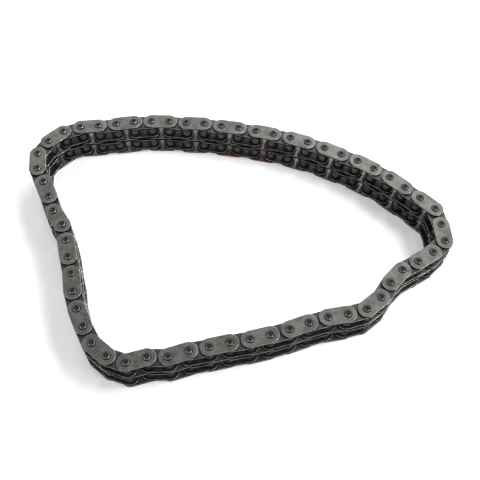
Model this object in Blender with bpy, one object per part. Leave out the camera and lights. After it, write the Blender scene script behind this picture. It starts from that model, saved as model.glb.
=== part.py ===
"""Endless double roller timing chain, lying on its side in a slack loop.

Metres, +Z up. Every pin stands upright, with its lower end on the plane z = 0, and the
origin is the middle of the loop's outline on that plane. Seen from above the links
follow each other clockwise: an outer link, an inner link, an outer link and so on.

Each link is one solid that hangs on the pin of the link behind it and carries the pin
that the link ahead of it hangs on. The links are parented from the root link outwards
in two branches, which meet at the open pivot, so that turning any link about its own Z
axis carries everything beyond it, as on the bench.
"""
import cmath
import functools
import math

import bmesh
import bpy

MM = 0.001

# Chain sizes
PITCH = 9.525 * MM
PLATE_END_GAP = 0.925 * MM
INNER_WIDTH = 5.72 * MM
INNER_PLATE = 1.3 * MM
OUTER_PLATE = 1.0 * MM
CENTRE_PLATE = 1.5 * MM
SIDE_PLAY = 0.21 * MM
ROLLER_DIAMETER = 6.35 * MM
PIN_DIAMETER = 3.28 * MM
PIN_PLAY = 0.08 * MM
PIN_STAND = 0.7 * MM

# Facets
PLATE_END_STEPS = 4
ROLLER_SIDES = 8
PIN_SIDES = 6

# How the loop lies: the heading of the first outer link, and the bend at each pivot
# after it towards the inside of the loop, in degrees. The bends add up to one turn.
FIRST_HEADING = 98.8
LAY = (
    ("far left corner", (35, 19, 22, 15)),
    ("start of the far run", (-2, -1, 5, 4, 6, -4, 7, -1)),
    ("far run", (3, 1, 3, 4, 3, 4, 0, 6, 3, 7, 0, 2)),
    ("right corner", (35, 8, 48, 12)),
    ("kink behind the right corner", (2, -16, -10, 17, 23, 6)),
    ("near run", (-7, -3, 3, 3, 4, -3, 2, -7, 17, -15)),
    ("near left corner", (35, 21, 21)),
    ("left run", (5, 6, 8, -5, 2, -5, -16, 13, -2, -4, 21)),
)
BENDS = [math.radians(bend) for _, stretch in LAY for bend in stretch]
LINKS = len(BENDS)

# Links by their place in the loop, counted from 0. An even place is an outer link.
# The open pivot is where the link at OPEN would hang on the pin of the one behind it.
ROOT = 39
OPEN = 10
PAINTED = (12, 14)

PLATE_RADIUS = (PITCH - PLATE_END_GAP) / 2
PIN_RADIUS = PIN_DIAMETER / 2
ROLLER_RADIUS = ROLLER_DIAMETER / 2
INNER_LINK_WIDTH = INNER_WIDTH + 2 * INNER_PLATE
ROW_SPACING = INNER_LINK_WIDTH + CENTRE_PLATE + 2 * SIDE_PLAY

# Heights of the layers, from the plane that the pins stand on
LOWER_PLATE_TOP = PIN_STAND + OUTER_PLATE
LOWER_ROW = LOWER_PLATE_TOP + SIDE_PLAY
UPPER_ROW = LOWER_ROW + ROW_SPACING
CENTRE_PLATE_FOOT = LOWER_ROW + INNER_LINK_WIDTH + SIDE_PLAY
UPPER_PLATE_FOOT = UPPER_ROW + INNER_LINK_WIDTH + SIDE_PLAY
UPPER_PLATE_TOP = UPPER_PLATE_FOOT + OUTER_PLATE
PIN_LENGTH = UPPER_PLATE_TOP + PIN_STAND

LOWER_PLATE_SPAN = (PIN_STAND, LOWER_PLATE_TOP)
CENTRE_PLATE_SPAN = (CENTRE_PLATE_FOOT, CENTRE_PLATE_FOOT + CENTRE_PLATE)
UPPER_PLATE_SPAN = (UPPER_PLATE_FOOT, UPPER_PLATE_TOP)
ROW_SPANS = tuple((foot, foot + INNER_LINK_WIDTH) for foot in (LOWER_ROW, UPPER_ROW))


def closed(headings):
    """Headings turned by a cos + b sin of themselves, with a and b found by Newton's
    method, so that the steps round the loop add up to nothing and the loop closes."""
    while True:
        steps = [cmath.exp(1j * heading) for heading in headings]
        missing = sum(steps)
        if abs(missing) < 1e-12:
            return headings
        by_cos = sum(1j * step * step.real for step in steps)
        by_sin = sum(1j * step * step.imag for step in steps)
        whole = (by_cos.conjugate() * by_sin).imag
        a = -(missing.conjugate() * by_sin).imag / whole
        b = -(by_cos.conjugate() * missing).imag / whole
        headings = [
            heading + a * step.real + b * step.imag
            for heading, step in zip(headings, steps)
        ]


def laid_headings():
    """Direction of each link in radians, the first one's less the bends so far."""
    headings = [math.radians(FIRST_HEADING)]
    for bend in BENDS[:-1]:
        headings.append(headings[-1] - bend)
    return closed(headings)


def outline(pivot_x):
    """Corners of a plate seen from above, a straight bar with a half circle round each
    of its two pivots. The plate lies along X, with its rear pivot at pivot_x."""
    turns = [math.pi * step / PLATE_END_STEPS for step in range(PLATE_END_STEPS + 1)]
    front = [
        (pivot_x + PITCH + PLATE_RADIUS * math.sin(turn), -PLATE_RADIUS * math.cos(turn))
        for turn in turns
    ]
    rear = [
        (pivot_x - PLATE_RADIUS * math.sin(turn), PLATE_RADIUS * math.cos(turn))
        for turn in turns
    ]
    return front + rear


def laid_pivots(headings):
    """The rear pivot of each link as x + iy, with the middle of the outline at 0."""
    pivots = [0j]
    for heading in headings[:-1]:
        pivots.append(pivots[-1] + PITCH * cmath.exp(1j * heading))
    corners = [
        pivot + complex(x, y) * cmath.exp(1j * heading)
        for pivot, heading in zip(pivots, headings)
        for x, y in outline(0)
    ]
    across = [corner.real for corner in corners]
    along = [corner.imag for corner in corners]
    middle = complex(min(across) + max(across), min(along) + max(along)) / 2
    return [pivot - middle for pivot in pivots]


def loop_of(mesh, corners, z):
    """Edges of a closed flat loop at one height."""
    vertices = [mesh.verts.new((x, y, z)) for x, y in corners]
    return [
        mesh.edges.new(pair) for pair in zip(vertices, vertices[1:] + vertices[:1])
    ]


def circle(x, radius, sides):
    """Corners of a regular polygon on a circle about a pivot at x."""
    turns = [2 * math.pi * side / sides for side in range(sides)]
    return [(x + radius * math.cos(turn), radius * math.sin(turn)) for turn in turns]


def wall(mesh, low, high):
    """The upright wall between two loops of the same outline."""
    bmesh.ops.bridge_loops(mesh, edges=low + high)


def flat(mesh, *loops):
    """The level face inside the first loop and outside the others."""
    edges = [edge for loop in loops for edge in loop]
    bmesh.ops.triangle_fill(mesh, edges=edges, use_beauty=True, normal=(0, 0, 1))


def tower(mesh, corners, *heights):
    """Loops of one outline at two heights, with the wall between them."""
    low, high = (loop_of(mesh, corners, z) for z in heights)
    wall(mesh, low, high)
    return low, high


def pin_corners(x):
    return circle(x, PIN_RADIUS, PIN_SIDES)


def bore_corners(x):
    """Corners of a bore whose flats clear the pin at every angle."""
    return circle(x, (PIN_RADIUS + PIN_PLAY) / math.cos(math.pi / PIN_SIDES), PIN_SIDES)


def finished(mesh, name):
    bmesh.ops.recalc_face_normals(mesh, faces=mesh.faces)
    data = bpy.data.meshes.new(name)
    mesh.to_mesh(data)
    mesh.free()
    return data


@functools.cache
def outer_link_mesh(pivot_x, plate_spans):
    """Outer plates above and below, with the centre plate between the two rows, riveted
    on the front pin. At the rear each plate is bored for the pin of the link behind."""
    mesh = bmesh.new()
    front = pin_corners(pivot_x + PITCH)
    rear = bore_corners(pivot_x)
    pin = loop_of(mesh, front, 0)
    flat(mesh, pin)
    for foot, top in plate_spans:
        below = loop_of(mesh, front, foot)
        wall(mesh, pin, below)
        pin = loop_of(mesh, front, top)
        edge_low, edge_high = tower(mesh, outline(pivot_x), foot, top)
        bore_low, bore_high = tower(mesh, rear, foot, top)
        flat(mesh, edge_low, below, bore_low)
        flat(mesh, edge_high, pin, bore_high)
    end = loop_of(mesh, front, PIN_LENGTH)
    wall(mesh, pin, end)
    flat(mesh, end)
    return finished(mesh, "outer_link")


@functools.cache
def inner_link_mesh(pivot_x):
    """Two rows, each a pair of inner plates held apart by two bushes with their rollers,
    on the front pin. At the rear the bushes are bored for the pin of the link behind."""
    mesh = bmesh.new()
    front = pin_corners(pivot_x + PITCH)
    rear = bore_corners(pivot_x)
    rollers = [
        circle(x, ROLLER_RADIUS, ROLLER_SIDES) for x in (pivot_x + PITCH, pivot_x)
    ]
    pin = loop_of(mesh, front, 0)
    flat(mesh, pin)
    for foot, top in ROW_SPANS:
        below = loop_of(mesh, front, foot)
        wall(mesh, pin, below)
        pin = loop_of(mesh, front, top)
        bore_low, bore_high = tower(mesh, rear, foot, top)
        foot_low, foot_high = tower(mesh, outline(pivot_x), foot, foot + INNER_PLATE)
        head_low, head_high = tower(mesh, outline(pivot_x), top - INNER_PLATE, top)
        flat(mesh, foot_low, below, bore_low)
        flat(mesh, head_high, pin, bore_high)
        walls = [
            tower(mesh, roller, foot + INNER_PLATE, top - INNER_PLATE) for roller in rollers
        ]
        flat(mesh, foot_high, *[low for low, _ in walls])
        flat(mesh, head_low, *[high for _, high in walls])
    end = loop_of(mesh, front, PIN_LENGTH)
    wall(mesh, pin, end)
    flat(mesh, end)
    return finished(mesh, "inner_link")


@functools.cache
def lower_plate_mesh(pivot_x):
    """A lower outer plate by itself, bored for both of its pins."""
    mesh = bmesh.new()
    edges = tower(mesh, outline(pivot_x), *LOWER_PLATE_SPAN)
    bores = [
        tower(mesh, bore_corners(x), *LOWER_PLATE_SPAN) for x in (pivot_x, pivot_x + PITCH)
    ]
    for level in (0, 1):
        flat(mesh, edges[level], *[bore[level] for bore in bores])
    return finished(mesh, "painted_plate")


def steel(name, colour, roughness, metallic):
    material = bpy.data.materials.new(name)
    material.use_nodes = True
    shader = material.node_tree.nodes["Principled BSDF"]
    shader.inputs["Base Color"].default_value = (*colour, 1)
    shader.inputs["Roughness"].default_value = roughness
    shader.inputs["Metallic"].default_value = metallic
    return material


def link_name(place):
    kind = "inner" if place % 2 else "outer"
    return f"{kind}_link_{place // 2 + 1:02d}"


def link_data(place, pivot_x):
    """The mesh of the link at a place in the loop, its rear pivot at pivot_x."""
    if place % 2:
        return inner_link_mesh(pivot_x)
    spans = (LOWER_PLATE_SPAN, CENTRE_PLATE_SPAN, UPPER_PLATE_SPAN)
    if place in PAINTED:
        spans = spans[1:]
    return outer_link_mesh(pivot_x, spans)


def add(name, data, material, parent):
    piece = bpy.data.objects.new(name, data)
    bpy.context.scene.collection.objects.link(piece)
    if not data.materials:
        data.materials.append(material)
    piece.parent = parent
    return piece


def build():
    for leftover in list(bpy.data.objects):
        bpy.data.objects.remove(leftover)
    plate_steel = steel("plate_steel", (0.24, 0.24, 0.235), 0.5, 0.6)
    dark_steel = steel("dark_steel", (0.07, 0.07, 0.07), 0.45, 0.6)
    marking_paint = steel("marking_paint", (0.42, 0.09, 0.045), 0.5, 0.0)
    headings = laid_headings()
    pivots = laid_pivots(headings)
    behind_open = (OPEN - 1) % LINKS
    forward = [(ROOT + step) % LINKS for step in range((behind_open - ROOT) % LINKS + 1)]
    backward = [(ROOT - step) % LINKS for step in range(1, (ROOT - OPEN) % LINKS + 1)]
    made = {}
    for place in forward + backward:
        ahead = place in forward
        pivot_x = 0 if ahead else -PITCH
        inward = (place - 1 if ahead else place + 1) % LINKS
        parent = made.get(inward)
        material = dark_steel if place % 2 else plate_steel
        link = add(link_name(place), link_data(place, pivot_x), material, parent)
        if parent:
            link.location.x = PITCH if ahead else (0 if inward == ROOT else -PITCH)
            link.rotation_euler.z = headings[place] - headings[inward]
        else:
            link.location = (pivots[place].real, pivots[place].imag, 0)
            link.rotation_euler.z = headings[place]
        if place in PAINTED:
            name = f"painted_plate_{place // 2 + 1:02d}"
            add(name, lower_plate_mesh(pivot_x), marking_paint, link)
        made[place] = link


build()
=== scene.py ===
"""Looks of an endless double roller timing chain, lying on its side in a slack loop.

The pins, plates, rollers and bushes of every link are made new at their real roundness,
from the places and heights that the frame's solids give, and each one rides on the body
of the link that holds it.
"""
import math

import bpy
import numpy as np
from mathutils import Matrix


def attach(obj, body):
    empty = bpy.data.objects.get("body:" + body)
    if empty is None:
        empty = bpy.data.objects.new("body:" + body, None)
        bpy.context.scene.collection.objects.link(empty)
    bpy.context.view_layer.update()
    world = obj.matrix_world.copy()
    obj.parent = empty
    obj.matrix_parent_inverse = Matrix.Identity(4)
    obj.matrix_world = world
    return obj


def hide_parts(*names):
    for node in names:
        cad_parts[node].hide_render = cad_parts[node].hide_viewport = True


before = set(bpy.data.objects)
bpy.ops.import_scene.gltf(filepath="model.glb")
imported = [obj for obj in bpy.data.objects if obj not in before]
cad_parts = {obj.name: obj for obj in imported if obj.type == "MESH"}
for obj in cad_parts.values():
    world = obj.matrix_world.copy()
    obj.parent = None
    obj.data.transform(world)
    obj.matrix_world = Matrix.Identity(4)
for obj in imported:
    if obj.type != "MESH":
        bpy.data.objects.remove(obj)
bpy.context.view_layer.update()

MM = 0.001

# Corners lower than this stand on the floor
ON_FLOOR = 0.01 * MM

# Decimals of a metre to which corners of the solids, and points to be welded, are the same
CAD_DECIMALS = 6
WELD_DECIMALS = 7

# Round sizes that the flat-sided solids stand for
ROLLER_RADIUS = 3.175 * MM
ROLLER_EDGE = 0.3 * MM
ROLLER_PLAY = 0.06 * MM
BUSH_RADIUS = 2.3 * MM
BUSH_BORE = 1.68 * MM
BUSH_HOLE = 2.32 * MM
PIN_RADIUS = 1.64 * MM
PIN_HOLE = 1.66 * MM
HOLE_EDGE = 0.12 * MM
RIVET_GROOVE = 0.4 * MM

# The rounded edge of a plate, and the flat rim inside it
PLATE_ROUND = 0.2 * MM
PLATE_RIM = 0.22 * MM

# The riveted head of a pin, with a dish whose flat floor starts at a share of its radius
PIN_HEAD_RADIUS = 1.72 * MM
PIN_HEAD_BEVEL = 0.36 * MM
PIN_HEAD_CREASE = 0.04 * MM
PIN_BEVEL_TILT = math.radians(38)
PIN_DISH_RADIUS = 1.32 * MM
PIN_DISH_DEPTH = 0.3 * MM
PIN_DISH_FLOOR = 0.8
PIN_DISH_CENTRE = PIN_DISH_RADIUS / 4

# Share of the bevel's wear that the flat land inside it has
LAND_WEAR = 0.3

# Share of painted shade on the top face of each row's lower plate, under the rollers, and how far
# from a hole the painted shade of its wall fades
PAINTED_ROLLER_SHADE = 0.15
SHADE_FADE = 0.05 * MM

# Steps round the curved parts, and the sharpest edge that is shaded smooth
PLATE_END_STEPS = 14
PLATE_SIDE_STEPS = 2
PLATE_MIDDLE_STEPS = 4
EDGE_STEPS = 3
PIN_SIDES = 24
ROLLER_SIDES = 22
DISH_STEPS = 4
SMOOTH_TO = math.radians(35)

# The photo's camera, found from the places of the pins in the picture
CAMERA_AIM = np.array((3.23, -4.10)) * MM
CAMERA_DISTANCE = 359.5 * MM
CAMERA_ELEVATION = math.radians(59.48)
CAMERA_ROLL = math.radians(2.38)
CAMERA_LENS_MM = 54.89
CAMERA_SENSOR_MM = 36


def corners(node):
    """Corners of a CAD node's mesh, one to a row."""
    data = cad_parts[node].data
    flat = np.empty(3 * len(data.vertices))
    data.vertices.foreach_get("co", flat)
    return flat.reshape(-1, 3)


def pin_foot(node):
    """Middle of the lower end of the pin that a link carries, seen from above."""
    found = corners(node)
    lowest = found[found[:, 2] < ON_FLOOR]
    return np.unique(lowest.round(CAD_DECIMALS), axis=0).mean(0)[:2]


def plate_spans(node):
    """Foot and top of each plate of a link, from the lowest plate up. The link's first
    and last height are the ends of its pin."""
    heights = np.unique(corners(node)[:, 2].round(CAD_DECIMALS))
    return heights[1:-1].reshape(-1, 2)


PAIRS = sum(name.startswith("outer_link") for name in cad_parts)
LINKS = [
    f"{kind}_link_{pair:02d}" for pair in range(1, PAIRS + 1) for kind in ("outer", "inner")
]
PIN_FEET = np.array([pin_foot(name) for name in LINKS])
OUTER_SPANS = plate_spans("outer_link_01")
INNER_SPANS = plate_spans("inner_link_01")
PIN_TOP = corners("outer_link_01")[:, 2].max()
PITCH = np.linalg.norm(PIN_FEET[0] - PIN_FEET[-1])


def lay_of(place):
    """Rear pivot of the link at a place in the loop, and the way it heads."""
    rear, front = PIN_FEET[place - 1], PIN_FEET[place]
    return rear, (front - rear) / np.linalg.norm(front - rear)


def plate_radius():
    """Half the width of a plate: how far the first link's corners lie from the line
    through its two pins."""
    rear, ahead = lay_of(0)
    out = corners(LINKS[0])[:, :2] - rear
    return np.abs(out[:, 0] * ahead[1] - out[:, 1] * ahead[0]).max()


PLATE_RADIUS = plate_radius()


class Shape:
    """Points, faces and named values of a piece, before it becomes a mesh."""

    def __init__(self, points, faces, caps=(), **values):
        self.points = points
        self.faces = faces
        self.caps = list(caps)
        self.values = values

    def mirrored(self, middle):
        """The same shape mirrored at x = middle, its faces still outwards: x becomes twice
        the middle less x, and each face takes its corners in the other order."""
        points = self.points * (-1, 1, 1) + (2 * middle, 0, 0)
        return Shape(points, self.faces[:, ::-1], **self.values)

    def welded(self):
        """The shape with points that fall together made one, and points in no face left out."""
        used, faces = np.unique(self.faces, return_inverse=True)
        points = self.points[used]
        _, first, place = np.unique(
            points.round(WELD_DECIMALS), axis=0, return_index=True, return_inverse=True
        )
        kept = {name: value[used][first] for name, value in self.values.items()}
        faces = place.reshape(-1)[faces.reshape(self.faces.shape)]
        return Shape(points[first], faces, **kept)

    def moved(self, x):
        """The same shape further along X."""
        return Shape(self.points + (x, 0, 0), self.faces, self.caps, **self.values)


def joined(shapes):
    """Several shapes as one, each still a closed body of its own."""
    starts = np.cumsum([0] + [len(shape.points) for shape in shapes[:-1]])
    caps = [
        [corner + start for corner in cap]
        for shape, start in zip(shapes, starts)
        for cap in shape.caps
    ]
    values = {
        name: np.concatenate([shape.values[name] for shape in shapes])
        for name in shapes[0].values
    }
    return Shape(
        np.concatenate([shape.points for shape in shapes]),
        np.concatenate([shape.faces + start for shape, start in zip(shapes, starts)]),
        caps,
        **values,
    )


def grid_faces(rows, columns, closed):
    """Faces between the points of a grid whose columns close on themselves, and its rows
    too where closed is true, as an array of row, column and four corners."""
    last = rows if closed else rows - 1
    row, column = np.meshgrid(np.arange(last), np.arange(columns), indexing="ij")
    above, beside = (row + 1) % rows, (column + 1) % columns
    return np.stack(
        [
            row * columns + column,
            above * columns + column,
            above * columns + beside,
            row * columns + beside,
        ],
        -1,
    )


def half_outline(radius):
    """Points round the rear half of a plate: up its middle line, back along the far side,
    half a circle round the rear pivot, and forward along the near side."""
    half = PITCH / 2
    middle = np.linspace(-radius, radius, PLATE_MIDDLE_STEPS + 1)
    side = np.linspace(0, half, PLATE_SIDE_STEPS + 1)[1:-1]
    turn = np.linspace(math.pi / 2, 3 * math.pi / 2, PLATE_END_STEPS + 1)
    x = np.concatenate([np.full(len(middle), half), side[::-1], radius * np.cos(turn), side])
    y = np.concatenate(
        [middle, np.full(len(side), radius), radius * np.sin(turn), np.full(len(side), -radius)]
    )
    return np.stack([x, y], -1)


def plate(span, hole, hole_edge, top_shade=0):
    """A stamped plate with two holes. Its rear half is a grid: one direction goes round
    the pivot, the other up the hole's wall, out over the top face, down the rounded edge
    and back under the foot face. A rounding's inset from the outline is its radius times
    1 - sin(turn), its drop from the face the radius times 1 - cos(turn). wear is
    sin(2 turn), greatest halfway round the edge, and 0 in the hole: it makes the edge pale,
    real rubbing and partly a painted highlight. wall is a painted shade: 1 in the hole,
    fading to the face's own value round it, 1 - cos(turn) on the edge, darker as the edge
    turns away from the top face, or the top face's painted shade under the rollers where
    that is more. The edge is left out on the middle line, where the mirrored front half
    joins on."""
    foot, top = span
    rim = hole + hole_edge
    hole_rows = [
        (rim + SHADE_FADE, foot, 0),
        (rim, foot, 1),
        (hole, foot + hole_edge, 1),
        (hole, top - hole_edge, 1),
        (rim, top, 1),
        (rim + SHADE_FADE, top, top_shade),
    ]
    turn = np.linspace(0, math.pi / 2, EDGE_STEPS + 1)
    inset = PLATE_ROUND * (1 - np.sin(turn))
    drop = PLATE_ROUND * (1 - np.cos(turn))
    inner = PLATE_RADIUS - PLATE_ROUND - PLATE_RIM
    radii = np.r_[inner, PLATE_RADIUS - inset, PLATE_RADIUS - inset[::-1], inner]
    heights = np.r_[top, top - drop, foot + drop[::-1], foot]
    # Pale edge, greatest halfway round: real rubbing and partly a painted highlight
    edge_wear = np.r_[0, np.sin(2 * turn), np.sin(2 * turn[::-1]), 0]
    # Painted shade on the edge, darker as it turns away from the top face
    edge_shade = np.r_[0, 1 - np.cos(turn), 1 - np.cos(turn[::-1]), 0]
    painted_shade = np.repeat([top_shade, 0], EDGE_STEPS + 2)
    wear = np.r_[np.zeros(len(hole_rows)), edge_wear]
    wall = np.r_[[value for _, _, value in hole_rows], np.maximum(edge_shade, painted_shade)]

    around = half_outline(PLATE_RADIUS)
    around = around / np.linalg.norm(around, axis=1, keepdims=True)
    level = np.ones(len(around))
    rows = [np.c_[around * radius, level * height] for radius, height, _ in hole_rows]
    rows += [
        np.c_[half_outline(radius), level * height] for radius, height in zip(radii, heights)
    ]
    faces = grid_faces(len(rows), len(around), True)
    kept = np.ones(faces.shape[:2], bool)
    kept[len(hole_rows) : len(rows) - 1, :PLATE_MIDDLE_STEPS] = False
    half = Shape(
        np.concatenate(rows),
        faces[kept],
        wear=np.repeat(wear, len(around)),
        wall=np.repeat(wall, len(around)),
    )
    return joined([half, half.mirrored(PITCH / 2)]).welded()


def turned(profile, sides, closed, **values):
    """A profile of radius and height, with a value of each name for each of its points,
    turned about the upright axis through x = 0: x is the radius times cos(angle), y the
    radius times sin(angle). An open profile is capped flat at both ends."""
    radius, height = np.array(profile).T
    angle = 2 * math.pi * np.arange(sides) / sides
    points = np.stack(
        [
            np.outer(radius, np.cos(angle)),
            np.outer(radius, np.sin(angle)),
            np.repeat(height[:, None], sides, 1),
        ],
        -1,
    ).reshape(-1, 3)
    faces = grid_faces(len(profile), sides, closed)[:, :, ::-1].reshape(-1, 4)
    last = (len(profile) - 1) * sides
    caps = [] if closed else [list(range(sides))[::-1], list(range(last, last + sides))]
    spread = {name: np.repeat(value, sides) for name, value in values.items()}
    return Shape(points, faces, caps, **spread)


def pin_end():
    """Radius, height and wear up a pin's upper end: out under the riveted head, up its
    wall, in over a bevel, across a flat land, and down a dish to its flat floor. The
    dish's depth is its full depth times 1 - t squared, t going from 1 at its mouth to 0
    where the floor starts, and its radius shrinks evenly with t. wear is 1 on the bevel,
    falls to LAND_WEAR across the land and is 0 in the dish and on the wall."""
    foot = OUTER_SPANS[-1][1]
    shoulder = PIN_TOP - PIN_HEAD_BEVEL * math.tan(PIN_BEVEL_TILT)
    rows = [
        (PIN_RADIUS, foot, 0),
        (PIN_HEAD_RADIUS, foot + HOLE_EDGE, 0),
        (PIN_HEAD_RADIUS, shoulder - PIN_HEAD_CREASE, 0),
        (PIN_HEAD_RADIUS, shoulder, 1),
        (PIN_HEAD_RADIUS - PIN_HEAD_BEVEL, PIN_TOP, 1),
    ]
    rows += [
        (
            PIN_DISH_RADIUS * (PIN_DISH_FLOOR + (1 - PIN_DISH_FLOOR) * t),
            PIN_TOP - PIN_DISH_DEPTH * (1 - t * t),
            LAND_WEAR * (t == 1),
        )
        for t in np.linspace(1, 0, DISH_STEPS)
    ]
    return rows + [(PIN_DISH_CENTRE, PIN_TOP - PIN_DISH_DEPTH, 0)]


def pin():
    """A pin with a dished, riveted head at each end, the lower one mirrored in the upper."""
    upper = pin_end()
    lower = [(radius, PIN_TOP - height, value) for radius, height, value in upper[::-1]]
    rows = np.array(lower + upper)
    return turned(rows[:, :2], PIN_SIDES, False, wear=rows[:, 2])


def ring(span, radius, bore, bevel):
    """A plain ring with a bevelled outer edge: up the outside, in, and down the bore."""
    foot, top = span
    profile = [
        (radius, foot + bevel),
        (radius, top - bevel),
        (radius - bevel, top),
        (bore, top),
        (bore, foot),
        (radius - bevel, foot),
    ]
    return turned(profile, ROLLER_SIDES, True)


def at_both_pins(shape):
    """A shape round a link's rear pivot, and the same one round its front pivot."""
    return [shape, shape.moved(PITCH)]


def rollers_and_bushes():
    """Two bushes across each row of an inner link, and the rollers that turn on them."""
    shapes = []
    roller_bore = BUSH_RADIUS + ROLLER_PLAY
    for below, above in (INNER_SPANS[:2], INNER_SPANS[2:]):
        inside = (below[1] + ROLLER_PLAY, above[0] - ROLLER_PLAY)
        shapes += at_both_pins(ring(inside, ROLLER_RADIUS, roller_bore, ROLLER_EDGE))
        shapes += at_both_pins(ring((below[0], above[1]), BUSH_RADIUS, BUSH_BORE, HOLE_EDGE))
    return joined(shapes)


# Sockets of the Mix node that take and give colours
MIX_FIRST, MIX_SECOND, MIX_RESULT = 6, 7, 2


class Flow:
    """One output socket of a material. Python's arithmetic on it adds Math nodes."""

    def __init__(self, recipe, socket):
        self.recipe = recipe
        self.socket = socket

    def math(self, operation, *values):
        """A Math node on the values, in the order of its sockets."""
        numbered = dict(enumerate(values))
        return self.recipe.node("ShaderNodeMath", {"operation": operation}, numbered)

    def __add__(self, other):
        return self.math("ADD", self, other)

    def __radd__(self, other):
        return self.math("ADD", other, self)

    def __sub__(self, other):
        return self.math("SUBTRACT", self, other)

    def __rsub__(self, other):
        return self.math("SUBTRACT", other, self)

    def __mul__(self, other):
        return self.math("MULTIPLY", self, other)

    def __rmul__(self, other):
        return self.math("MULTIPLY", other, self)

    def larger(self, other):
        """The greater of the two values."""
        return self.math("MAXIMUM", self, other)

    def between(self, low, high):
        """0 where the value is below low, 1 where it is above high, and smooth between."""
        return self.recipe.node(
            "ShaderNodeMapRange",
            {"interpolation_type": "SMOOTHSTEP"},
            {"Value": self, "From Min": low, "From Max": high},
        )


class Recipe:
    """The nodes of a material, or of the world, written as expressions."""

    def __init__(self, owner, shader="Principled BSDF"):
        self.owner = owner
        owner.use_nodes = True
        self.tree = owner.node_tree
        self.shader = self.tree.nodes[shader]

    def node(self, kind, settings=None, inputs=None, output=0):
        """Adds a node, sets it, gives its sockets their values or links, and returns the
        output asked for."""
        made = self.tree.nodes.new(kind)
        for setting, value in (settings or {}).items():
            setattr(made, setting, value)
        for socket, value in (inputs or {}).items():
            self.feed(made.inputs[socket], value)
        return Flow(self, made.outputs[output])

    def feed(self, socket, value):
        """Links a Flow to the socket, or sets a plain value on it."""
        if isinstance(value, Flow):
            self.tree.links.new(value.socket, socket)
        else:
            socket.default_value = value

    def finish(self, **inputs):
        """Feeds the shader, a socket's name written with _ for each space."""
        for socket, value in inputs.items():
            self.feed(self.shader.inputs[socket.replace("_", " ")], value)
        return self.owner

    def place(self):
        """Object coordinates, which are places in the loop at rest."""
        return self.node("ShaderNodeTexCoord", output="Object")

    def noise(self, size, detail=2.0, roughness=0.5, stretch=(1, 1, 1)):
        """Noise whose blotches are about size across, longer by 1 / stretch each way."""
        scaled = self.node(
            "ShaderNodeVectorMath",
            {"operation": "MULTIPLY"},
            {0: self.place(), 1: stretch},
        )
        return self.node(
            "ShaderNodeTexNoise",
            inputs={"Vector": scaled, "Scale": 1 / size, "Detail": detail, "Roughness": roughness},
        )

    def attribute(self, name):
        """A named value of the piece's own points."""
        return self.node("ShaderNodeAttribute", {"attribute_name": name}, output="Fac")

    def mix(self, share, first, second):
        """A colour between two, as a colour socket."""
        inputs = {"Factor": share}
        for socket, colour in ((MIX_FIRST, first), (MIX_SECOND, second)):
            inputs[socket] = colour if isinstance(colour, Flow) else (*colour, 1)
        return self.node("ShaderNodeMix", {"data_type": "RGBA"}, inputs, MIX_RESULT)

    def seen_directly(self):
        """1 for rays from the camera, from mirroring steel and through clear stuff, else 0."""
        path = self.tree.nodes.new("ShaderNodeLightPath")
        names = ("Is Camera Ray", "Is Glossy Ray", "Is Transmission Ray")
        camera, glossy, through = (Flow(self, path.outputs[name]) for name in names)
        return camera.larger(glossy).larger(through)

    def bump(self, height, depth):
        """A normal that tilts as if the surface rose by depth where height is 1."""
        return self.node(
            "ShaderNodeBump", inputs={"Height": height, "Strength": 1.0, "Distance": depth}
        )


# Tones of the finishes, the dark one and the pale one where two are mixed
OUTER_TONES = ((0.051, 0.052, 0.048), (0.098, 0.099, 0.092))
# Centre plates lighter than the outer ones: painted light against the shade between the rows
CENTRE_LIGHTENED_TONES = ((0.065, 0.065, 0.062), (0.11, 0.11, 0.105))
# The marked links' centre plates: real paint dust, and lighter in the same painted way
DUSTED_LIGHTENED_TONES = ((0.07, 0.062, 0.058), (0.115, 0.1, 0.094))
# Inner plates darker than the outer ones: painted shade for the sunken gaps they show in
INNER_SHADED_TONES = ((0.024, 0.025, 0.023), (0.05, 0.051, 0.048))
# Near-black painted shade on the plates' walls, the grooves round the pins and the shaded faces
PAINTED_WALL_SHADE = (0.005, 0.005, 0.005)
# Pale rubbed steel on the rounded edges, partly a painted highlight
RUBBED_EDGE_HIGHLIGHT = (0.36, 0.36, 0.35)
ROLLER_TONES = ((0.04, 0.041, 0.039), (0.07, 0.071, 0.068))
PIN_TONES = ((0.014, 0.014, 0.0135), (0.032, 0.032, 0.03))
WORKED_BEVEL = (0.12, 0.12, 0.115)
PAINT_TONES = ((0.11, 0.024, 0.009), (0.38, 0.066, 0.02))
UNDER_PAINT = (0.1, 0.06, 0.056)
FLOOR_PAPER = (0.76, 0.775, 0.8, 1)
WHITE = (1, 1, 1, 1)


def new_material(name):
    """The recipe of a new material, with nothing set on its shader yet."""
    return Recipe(bpy.data.materials.new(name))


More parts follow.
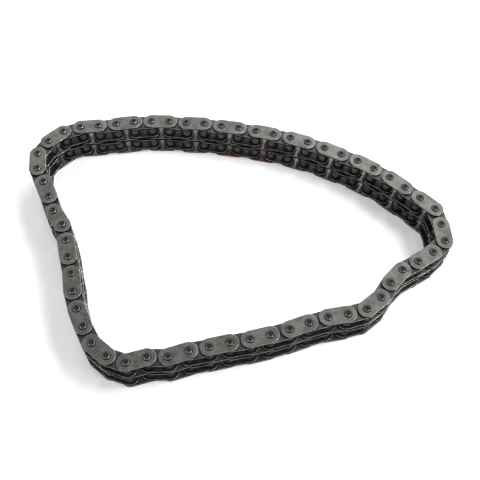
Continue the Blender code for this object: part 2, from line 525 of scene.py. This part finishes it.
def plate_steel(name, tones):
    """Tumbled, blued sheet steel: blotches a few millimetres across and a fine grain. The
    walls, the grooves round the pins and the shaded top faces are painted nearly black as
    shade, and the rounded edges are pale in places, rubbed steel and partly a painted highlight."""
    steel = new_material(name)
    blotch = steel.noise(4 * MM, 3.0, 0.6).between(0.3, 0.7)
    grain = steel.noise(0.45 * MM, 3.0, 0.65)
    # Painted shade: near black on the walls, the grooves round the holes and the faces under the
    # rollers
    wall_shade = steel.attribute("wall")
    patch = steel.noise(1.8 * MM).between(0.35, 0.65)
    # Pale edges: real rubbing and partly a painted highlight
    rub_and_highlight = steel.attribute("wear") * (0.4 + patch * 0.6)
    tone = (blotch * 0.35 + grain * 0.9).between(0.33, 0.92)
    face = steel.mix(wall_shade, steel.mix(tone, *tones), PAINTED_WALL_SHADE)
    return steel.finish(
        Base_Color=steel.mix(rub_and_highlight, face, RUBBED_EDGE_HIGHLIGHT),
        Metallic=0.75 - wall_shade * 0.75 + rub_and_highlight * 0.25,
        Roughness=0.36 + grain * 0.14 + wall_shade * 0.25 - rub_and_highlight * 0.2,
        Specular_IOR_Level=0.0,
        Normal=steel.bump(grain, 0.02 * MM),
    )


def roller_steel():
    """Hardened black steel under a film of oil, smooth round the rollers."""
    steel = new_material("roller_steel")
    blotch = steel.noise(2.5 * MM, 3.0, 0.6).between(0.3, 0.7)
    streak = steel.noise(0.5 * MM, stretch=(0.3, 0.3, 2.0))
    return steel.finish(
        Base_Color=steel.mix(blotch, *ROLLER_TONES),
        Metallic=0.7,
        Roughness=0.2 + streak * 0.16,
        Specular_IOR_Level=0.0,
        Normal=steel.bump(streak, 0.006 * MM),
    )


def pin_steel():
    """Dark pins, with smoother steel on the bevel where the riveting tool worked."""
    steel = new_material("pin_steel")
    grain = steel.noise(0.3 * MM)
    worked = steel.attribute("wear")
    return steel.finish(
        Base_Color=steel.mix(worked, steel.mix(grain, *PIN_TONES), WORKED_BEVEL),
        Metallic=worked * 0.8,
        Roughness=0.6 - worked * 0.35 + grain * 0.12,
        Specular_IOR_Level=0.0,
        Normal=steel.bump(grain, 0.012 * MM),
    )


def marking_paint():
    """Thin rust-red marking paint, whole on the stamped edge, a dusting on the faces."""
    paint = new_material("marking_paint")
    patch = paint.noise(2.0 * MM, 3.0, 0.6)
    cover = (paint.attribute("wall") * 0.55 + patch * 0.8).between(0.42, 0.85)
    streak = paint.noise(0.8 * MM).between(0.3, 0.7)
    coat = paint.mix(streak, *PAINT_TONES)
    return paint.finish(
        Base_Color=paint.mix(cover, UNDER_PAINT, coat),
        Metallic=(1 - cover) * 0.3,
        Roughness=0.5 + patch * 0.15,
        Specular_IOR_Level=0.0,
        Normal=paint.bump(patch + streak * 0.3, 0.03 * MM),
    )


OUTER_STEEL = plate_steel("outer_plate_steel", OUTER_TONES)
CENTRE_LIGHTENED_STEEL = plate_steel("centre_plate_lightened_steel", CENTRE_LIGHTENED_TONES)
DUSTED_LIGHTENED_STEEL = plate_steel("paint_dusted_lightened_steel", DUSTED_LIGHTENED_TONES)
INNER_SHADED_STEEL = plate_steel("inner_plate_shaded_steel", INNER_SHADED_TONES)
ROLLER_STEEL = roller_steel()
PIN_STEEL = pin_steel()
PAINT = marking_paint()


def add_piece(name, shape, place, material):
    """Puts a shape made along X, with its rear pivot at the origin, where its link lies,
    on the body of that link."""
    rear, ahead = lay_of(place)
    along, across, _ = shape.points.T
    points = shape.points.copy()
    points[:, 0] = rear[0] + along * ahead[0] - across * ahead[1]
    points[:, 1] = rear[1] + along * ahead[1] + across * ahead[0]
    data = bpy.data.meshes.new(name)
    data.from_pydata(points, [], shape.faces.tolist() + shape.caps)
    for value_name, value in shape.values.items():
        attribute = data.attributes.new(value_name, "FLOAT", "POINT")
        attribute.data.foreach_set("value", value.astype(np.float32))
    data.materials.append(material)
    data.shade_smooth()
    data.set_sharp_from_angle(angle=SMOOTH_TO)
    piece = bpy.data.objects.new(name, data)
    bpy.context.scene.collection.objects.link(piece)
    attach(piece, LINKS[place])
    return piece


def dress_links():
    """Plates and pins on every outer link, plates, bushes and rollers on every inner one."""
    lower_plate, centre_plate, upper_plate = (
        plate(span, PIN_HOLE, RIVET_GROOVE) for span in OUTER_SPANS
    )
    outer_plates = joined([lower_plate, upper_plate])
    # Painted shade on the top face of each row's lower plate, under the rollers and the upper
    # plate
    top_shades = (PAINTED_ROLLER_SHADE, 0, PAINTED_ROLLER_SHADE, 0)
    inner_plates = joined(
        [
            plate(span, BUSH_HOLE, HOLE_EDGE, painted_shade)
            for span, painted_shade in zip(INNER_SPANS, top_shades)
        ]
    )
    pins = joined(at_both_pins(pin()))
    rollers = rollers_and_bushes()
    for place, link in enumerate(LINKS):
        number = link[-2:]
        if link.startswith("inner"):
            plates = add_piece(
                f"inner_plates_{number}", inner_plates, place, INNER_SHADED_STEEL
            )
            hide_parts(link)
            add_piece(f"rollers_{number}", rollers, place, ROLLER_STEEL)
            continue
        painted = f"painted_plate_{number}"
        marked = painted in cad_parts
        outer = add_piece(
            f"outer_plates_{number}",
            upper_plate if marked else outer_plates,
            place,
            OUTER_STEEL,
        )
        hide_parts(link)
        # Centre plates take the lightened tones, a painted light
        centre_finish = DUSTED_LIGHTENED_STEEL if marked else CENTRE_LIGHTENED_STEEL
        add_piece(f"centre_plate_{number}", centre_plate, place, centre_finish)
        add_piece(f"pins_{number}", pins, place, PIN_STEEL)
        if marked:
            lower = add_piece(
                f"marked_plate_{number}", lower_plate, place, PAINT
            )
            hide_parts(painted)


# How much of the floor's white is its own glow, and how much of the room's white falls
# on the chain and the floor as soft light
FLOOR_GLOW = 0.36
ROOM_FILL = 0.25

# Half the floor's width, and how far from its middle it starts to turn as white as the
# room and has done so, in metres
FLOOR_REACH = 3.0
WHITE_FROM = 0.35
WHITE_BY = 1.0

# Soft boxes, each with its place, width and watts, all facing the middle of the loop
SOFT_BOXES = (
    ("key_light", (0.55, 0.06, 0.78), 0.36, 8.0),
    ("back_light", (0.3, 0.78, 0.6), 0.6, 9.2),
    ("left_back_light", (-0.42, 0.85, 0.66), 0.4, 4.0),
    ("right_light", (0.76, -0.38, 0.46), 0.14, 1.9),
    ("left_light", (-0.75, -0.4, 0.45), 0.14, 1.5),
)


def add_floor():
    """A pale floor that the camera and the steel see as white, but for the shadow."""
    reach = FLOOR_REACH
    points = [(-reach, -reach, 0), (reach, -reach, 0), (reach, reach, 0), (-reach, reach, 0)]
    data = bpy.data.meshes.new("floor")
    data.from_pydata(points, [], [(0, 1, 2, 3)])
    floor = bpy.data.objects.new("floor", data)
    bpy.context.scene.collection.objects.link(floor)
    paper = new_material("floor")
    distance = paper.node(
        "ShaderNodeVectorMath", {"operation": "LENGTH"}, {0: paper.place()}, output="Value"
    )
    glow = distance.between(WHITE_FROM, WHITE_BY) * (1 - FLOOR_GLOW) + FLOOR_GLOW
    paper.finish(
        Base_Color=FLOOR_PAPER,
        Roughness=0.9,
        Specular_IOR_Level=0.0,
        Emission_Color=WHITE,
        Emission_Strength=paper.seen_directly() * glow,
    )
    data.materials.append(paper.owner)


def add_soft_box(name, place, size, watts):
    """A square area lamp that faces the middle of the loop."""
    lamp = bpy.data.lights.new(name, "AREA")
    lamp.shape = "SQUARE"
    lamp.size = size
    lamp.energy = watts
    light = bpy.data.objects.new(name, lamp)
    bpy.context.scene.collection.objects.link(light)
    away = np.array(place) / np.linalg.norm(place)
    side = np.cross((0, 1, 0), away)
    side = side / np.linalg.norm(side)
    turn = np.eye(4)
    turn[:3, :3] = np.stack([side, np.cross(away, side), away], -1)
    turn[:3, 3] = place
    light.matrix_world = Matrix(turn.tolist())


def light_studio():
    """Soft boxes in a room that is seen as white, and lights less than it shows."""
    world = bpy.data.worlds.new("studio")
    bpy.context.scene.world = world
    room = Recipe(world, "Background")
    room.finish(
        Color=WHITE,
        Strength=room.seen_directly() * (1 - ROOM_FILL) + ROOM_FILL,
    )
    for box in SOFT_BOXES:
        add_soft_box(*box)


def add_camera():
    """Looks down at the plane of the upper pin ends, rolled as the photo's camera was."""
    view = bpy.data.cameras.new("camera")
    view.lens = CAMERA_LENS_MM
    view.sensor_width = CAMERA_SENSOR_MM
    camera = bpy.data.objects.new("camera", view)
    bpy.context.scene.collection.objects.link(camera)
    level, raised = math.cos(CAMERA_ELEVATION), math.sin(CAMERA_ELEVATION)
    back = np.array((0, -level, raised))
    up = np.array((0, raised, level))
    right = np.array((1, 0, 0))
    across = right * math.cos(CAMERA_ROLL) + up * math.sin(CAMERA_ROLL)
    rolled = up * math.cos(CAMERA_ROLL) - right * math.sin(CAMERA_ROLL)
    turn = np.eye(4)
    turn[:3, :3] = np.stack([across, rolled, back], -1)
    turn[:3, 3] = np.array((*CAMERA_AIM, PIN_TOP)) + back * CAMERA_DISTANCE
    camera.matrix_world = Matrix(turn.tolist())
    bpy.context.scene.camera = camera


add_camera()
add_floor()
light_studio()
dress_links()
bpy.context.scene.view_settings.view_transform = "Standard"
